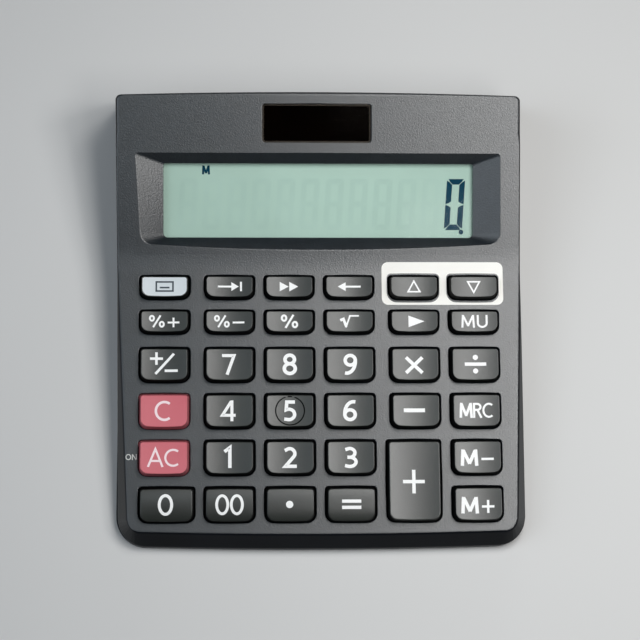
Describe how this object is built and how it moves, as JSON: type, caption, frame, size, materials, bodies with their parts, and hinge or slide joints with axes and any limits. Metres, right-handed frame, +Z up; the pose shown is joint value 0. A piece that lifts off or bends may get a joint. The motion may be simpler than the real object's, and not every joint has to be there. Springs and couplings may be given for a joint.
{
  "type": "desktop calculator",
  "caption": "Sloping desktop calculator with a tilted display in a deep recess, a solar window above it and a grid of keys that press down.",
  "frame": {"origin": "centre of the footprint, on the plane that the rubber feet stand on", "axes": "+X to the right as the user sees it, +Y from the keys towards the display, +Z up"},
  "size_m": [0.1264, 0.148, 0.0341],
  "materials": {
    "case": "satin, finely moulded grain",
    "key": "satin",
    "key_light": "satin",
    "key_red": "satin",
    "clear_window": "clear, polished",
    "display_cell": "polished glass over a grey-green field",
    "foil": "satin foil",
    "black_foam": "matt foam",
    "black_plastic": "matt",
    "film": "thin amber film",
    "board": "lacquered board",
    "dome_rubber": "moulded silicone",
    "board_part": "ceramic",
    "solar_cells": "polished dark glass",
    "lead": "sleeved flat lead",
    "steel": "plated",
    "foot_rubber": "matt",
    "cell_steel": "plated",
    "contact": "plated spring strip"
  },
  "bodies": {
    "case": {"upper_case": "case", "lower_case": "case", "display_window": "clear_window", "display_gasket": "black_foam", "display_glass": "display_cell", "display_reflector": "foil", "display_holder": "black_plastic", "display_film": "film", "main_board": "board", "dome_sheet": "dome_rubber", "chip_cap": "black_plastic", "board_parts": "board_part", "solar_window": "clear_window", "solar_panel": "solar_cells", "solar_leads": "lead", "case_screws": "steel", "rubber_feet": "foot_rubber", "button_cell": "cell_steel", "cell_contact_minus": "contact", "cell_contact_plus": "contact", "cell_leads": "lead"},
    "key_display": {"key_display": "key_light"},
    "key_go_to": {"key_go_to": "key"},
    "key_auto_review": {"key_auto_review": "key"},
    "key_correct": {"key_correct": "key"},
    "key_step_up": {"key_step_up": "key"},
    "key_step_down": {"key_step_down": "key"},
    "key_tax_plus": {"key_tax_plus": "key"},
    "key_tax_minus": {"key_tax_minus": "key"},
    "key_percent": {"key_percent": "key"},
    "key_root": {"key_root": "key"},
    "key_play": {"key_play": "key"},
    "key_markup": {"key_markup": "key"},
    "key_sign": {"key_sign": "key"},
    "key_7": {"key_7": "key"},
    "key_8": {"key_8": "key"},
    "key_9": {"key_9": "key"},
    "key_times": {"key_times": "key"},
    "key_divide": {"key_divide": "key"},
    "key_clear": {"key_clear": "key_red"},
    "key_4": {"key_4": "key"},
    "key_5": {"key_5": "key"},
    "key_6": {"key_6": "key"},
    "key_minus": {"key_minus": "key"},
    "key_memory_recall": {"key_memory_recall": "key"},
    "key_all_clear": {"key_all_clear": "key_red"},
    "key_1": {"key_1": "key"},
    "key_2": {"key_2": "key"},
    "key_3": {"key_3": "key"},
    "key_plus": {"key_plus": "key"},
    "key_memory_minus": {"key_memory_minus": "key"},
    "key_0": {"key_0": "key"},
    "key_00": {"key_00": "key"},
    "key_point": {"key_point": "key"},
    "key_equals": {"key_equals": "key"},
    "key_memory_plus": {"key_memory_plus": "key"}
  },
  "joints": [
    {"name": "key_display_press", "type": "slide", "parent": "case", "child": "key_display", "axis": [0, 0.0872, -0.9962], "range_m": [0, 0.0015], "stiffness_N_per_m": 350, "springref_m": -0.0003, "deforming": ["dome_sheet"]},
    {"name": "key_go_to_press", "type": "slide", "parent": "case", "child": "key_go_to", "axis": [0, 0.0872, -0.9962], "range_m": [0, 0.0015], "stiffness_N_per_m": 350, "springref_m": -0.0003, "deforming": ["dome_sheet"]},
    {"name": "key_auto_review_press", "type": "slide", "parent": "case", "child": "key_auto_review", "axis": [0, 0.0872, -0.9962], "range_m": [0, 0.0015], "stiffness_N_per_m": 350, "springref_m": -0.0003, "deforming": ["dome_sheet"]},
    {"name": "key_correct_press", "type": "slide", "parent": "case", "child": "key_correct", "axis": [0, 0.0872, -0.9962], "range_m": [0, 0.0015], "stiffness_N_per_m": 350, "springref_m": -0.0003, "deforming": ["dome_sheet"]},
    {"name": "key_step_up_press", "type": "slide", "parent": "case", "child": "key_step_up", "axis": [0, 0.0872, -0.9962], "range_m": [0, 0.0015], "stiffness_N_per_m": 350, "springref_m": -0.0003, "deforming": ["dome_sheet"]},
    {"name": "key_step_down_press", "type": "slide", "parent": "case", "child": "key_step_down", "axis": [0, 0.0872, -0.9962], "range_m": [0, 0.0015], "stiffness_N_per_m": 350, "springref_m": -0.0003, "deforming": ["dome_sheet"]},
    {"name": "key_tax_plus_press", "type": "slide", "parent": "case", "child": "key_tax_plus", "axis": [0, 0.0872, -0.9962], "range_m": [0, 0.0015], "stiffness_N_per_m": 350, "springref_m": -0.0003, "deforming": ["dome_sheet"]},
    {"name": "key_tax_minus_press", "type": "slide", "parent": "case", "child": "key_tax_minus", "axis": [0, 0.0872, -0.9962], "range_m": [0, 0.0015], "stiffness_N_per_m": 350, "springref_m": -0.0003, "deforming": ["dome_sheet"]},
    {"name": "key_percent_press", "type": "slide", "parent": "case", "child": "key_percent", "axis": [0, 0.0872, -0.9962], "range_m": [0, 0.0015], "stiffness_N_per_m": 350, "springref_m": -0.0003, "deforming": ["dome_sheet"]},
    {"name": "key_root_press", "type": "slide", "parent": "case", "child": "key_root", "axis": [0, 0.0872, -0.9962], "range_m": [0, 0.0015], "stiffness_N_per_m": 350, "springref_m": -0.0003, "deforming": ["dome_sheet"]},
    {"name": "key_play_press", "type": "slide", "parent": "case", "child": "key_play", "axis": [0, 0.0872, -0.9962], "range_m": [0, 0.0015], "stiffness_N_per_m": 350, "springref_m": -0.0003, "deforming": ["dome_sheet"]},
    {"name": "key_markup_press", "type": "slide", "parent": "case", "child": "key_markup", "axis": [0, 0.0872, -0.9962], "range_m": [0, 0.0015], "stiffness_N_per_m": 350, "springref_m": -0.0003, "deforming": ["dome_sheet"]},
    {"name": "key_sign_press", "type": "slide", "parent": "case", "child": "key_sign", "axis": [0, 0.0872, -0.9962], "range_m": [0, 0.0015], "stiffness_N_per_m": 350, "springref_m": -0.0003, "deforming": ["dome_sheet"]},
    {"name": "key_7_press", "type": "slide", "parent": "case", "child": "key_7", "axis": [0, 0.0872, -0.9962], "range_m": [0, 0.0015], "stiffness_N_per_m": 350, "springref_m": -0.0003, "deforming": ["dome_sheet"]},
    {"name": "key_8_press", "type": "slide", "parent": "case", "child": "key_8", "axis": [0, 0.0872, -0.9962], "range_m": [0, 0.0015], "stiffness_N_per_m": 350, "springref_m": -0.0003, "deforming": ["dome_sheet"]},
    {"name": "key_9_press", "type": "slide", "parent": "case", "child": "key_9", "axis": [0, 0.0872, -0.9962], "range_m": [0, 0.0015], "stiffness_N_per_m": 350, "springref_m": -0.0003, "deforming": ["dome_sheet"]},
    {"name": "key_times_press", "type": "slide", "parent": "case", "child": "key_times", "axis": [0, 0.0872, -0.9962], "range_m": [0, 0.0015], "stiffness_N_per_m": 350, "springref_m": -0.0003, "deforming": ["dome_sheet"]},
    {"name": "key_divide_press", "type": "slide", "parent": "case", "child": "key_divide", "axis": [0, 0.0872, -0.9962], "range_m": [0, 0.0015], "stiffness_N_per_m": 350, "springref_m": -0.0003, "deforming": ["dome_sheet"]},
    {"name": "key_clear_press", "type": "slide", "parent": "case", "child": "key_clear", "axis": [0, 0.0872, -0.9962], "range_m": [0, 0.0015], "stiffness_N_per_m": 350, "springref_m": -0.0003, "deforming": ["dome_sheet"]},
    {"name": "key_4_press", "type": "slide", "parent": "case", "child": "key_4", "axis": [0, 0.0872, -0.9962], "range_m": [0, 0.0015], "stiffness_N_per_m": 350, "springref_m": -0.0003, "deforming": ["dome_sheet"]},
    {"name": "key_5_press", "type": "slide", "parent": "case", "child": "key_5", "axis": [0, 0.0872, -0.9962], "range_m": [0, 0.0015], "stiffness_N_per_m": 350, "springref_m": -0.0003, "deforming": ["dome_sheet"]},
    {"name": "key_6_press", "type": "slide", "parent": "case", "child": "key_6", "axis": [0, 0.0872, -0.9962], "range_m": [0, 0.0015], "stiffness_N_per_m": 350, "springref_m": -0.0003, "deforming": ["dome_sheet"]},
    {"name": "key_minus_press", "type": "slide", "parent": "case", "child": "key_minus", "axis": [0, 0.0872, -0.9962], "range_m": [0, 0.0015], "stiffness_N_per_m": 350, "springref_m": -0.0003, "deforming": ["dome_sheet"]},
    {"name": "key_memory_recall_press", "type": "slide", "parent": "case", "child": "key_memory_recall", "axis": [0, 0.0872, -0.9962], "range_m": [0, 0.0015], "stiffness_N_per_m": 350, "springref_m": -0.0003, "deforming": ["dome_sheet"]},
    {"name": "key_all_clear_press", "type": "slide", "parent": "case", "child": "key_all_clear", "axis": [0, 0.0872, -0.9962], "range_m": [0, 0.0015], "stiffness_N_per_m": 350, "springref_m": -0.0003, "deforming": ["dome_sheet"]},
    {"name": "key_1_press", "type": "slide", "parent": "case", "child": "key_1", "axis": [0, 0.0872, -0.9962], "range_m": [0, 0.0015], "stiffness_N_per_m": 350, "springref_m": -0.0003, "deforming": ["dome_sheet"]},
    {"name": "key_2_press", "type": "slide", "parent": "case", "child": "key_2", "axis": [0, 0.0872, -0.9962], "range_m": [0, 0.0015], "stiffness_N_per_m": 350, "springref_m": -0.0003, "deforming": ["dome_sheet"]},
    {"name": "key_3_press", "type": "slide", "parent": "case", "child": "key_3", "axis": [0, 0.0872, -0.9962], "range_m": [0, 0.0015], "stiffness_N_per_m": 350, "springref_m": -0.0003, "deforming": ["dome_sheet"]},
    {"name": "key_plus_press", "type": "slide", "parent": "case", "child": "key_plus", "axis": [0, 0.0872, -0.9962], "range_m": [0, 0.0015], "stiffness_N_per_m": 350, "springref_m": -0.0003, "deforming": ["dome_sheet"]},
    {"name": "key_memory_minus_press", "type": "slide", "parent": "case", "child": "key_memory_minus", "axis": [0, 0.0872, -0.9962], "range_m": [0, 0.0015], "stiffness_N_per_m": 350, "springref_m": -0.0003, "deforming": ["dome_sheet"]},
    {"name": "key_0_press", "type": "slide", "parent": "case", "child": "key_0", "axis": [0, 0.0872, -0.9962], "range_m": [0, 0.0015], "stiffness_N_per_m": 350, "springref_m": -0.0003, "deforming": ["dome_sheet"]},
    {"name": "key_00_press", "type": "slide", "parent": "case", "child": "key_00", "axis": [0, 0.0872, -0.9962], "range_m": [0, 0.0015], "stiffness_N_per_m": 350, "springref_m": -0.0003, "deforming": ["dome_sheet"]},
    {"name": "key_point_press", "type": "slide", "parent": "case", "child": "key_point", "axis": [0, 0.0872, -0.9962], "range_m": [0, 0.0015], "stiffness_N_per_m": 350, "springref_m": -0.0003, "deforming": ["dome_sheet"]},
    {"name": "key_equals_press", "type": "slide", "parent": "case", "child": "key_equals", "axis": [0, 0.0872, -0.9962], "range_m": [0, 0.0015], "stiffness_N_per_m": 350, "springref_m": -0.0003, "deforming": ["dome_sheet"]},
    {"name": "key_memory_plus_press", "type": "slide", "parent": "case", "child": "key_memory_plus", "axis": [0, 0.0872, -0.9962], "range_m": [0, 0.0015], "stiffness_N_per_m": 350, "springref_m": -0.0003, "deforming": ["dome_sheet"]}
  ]
}
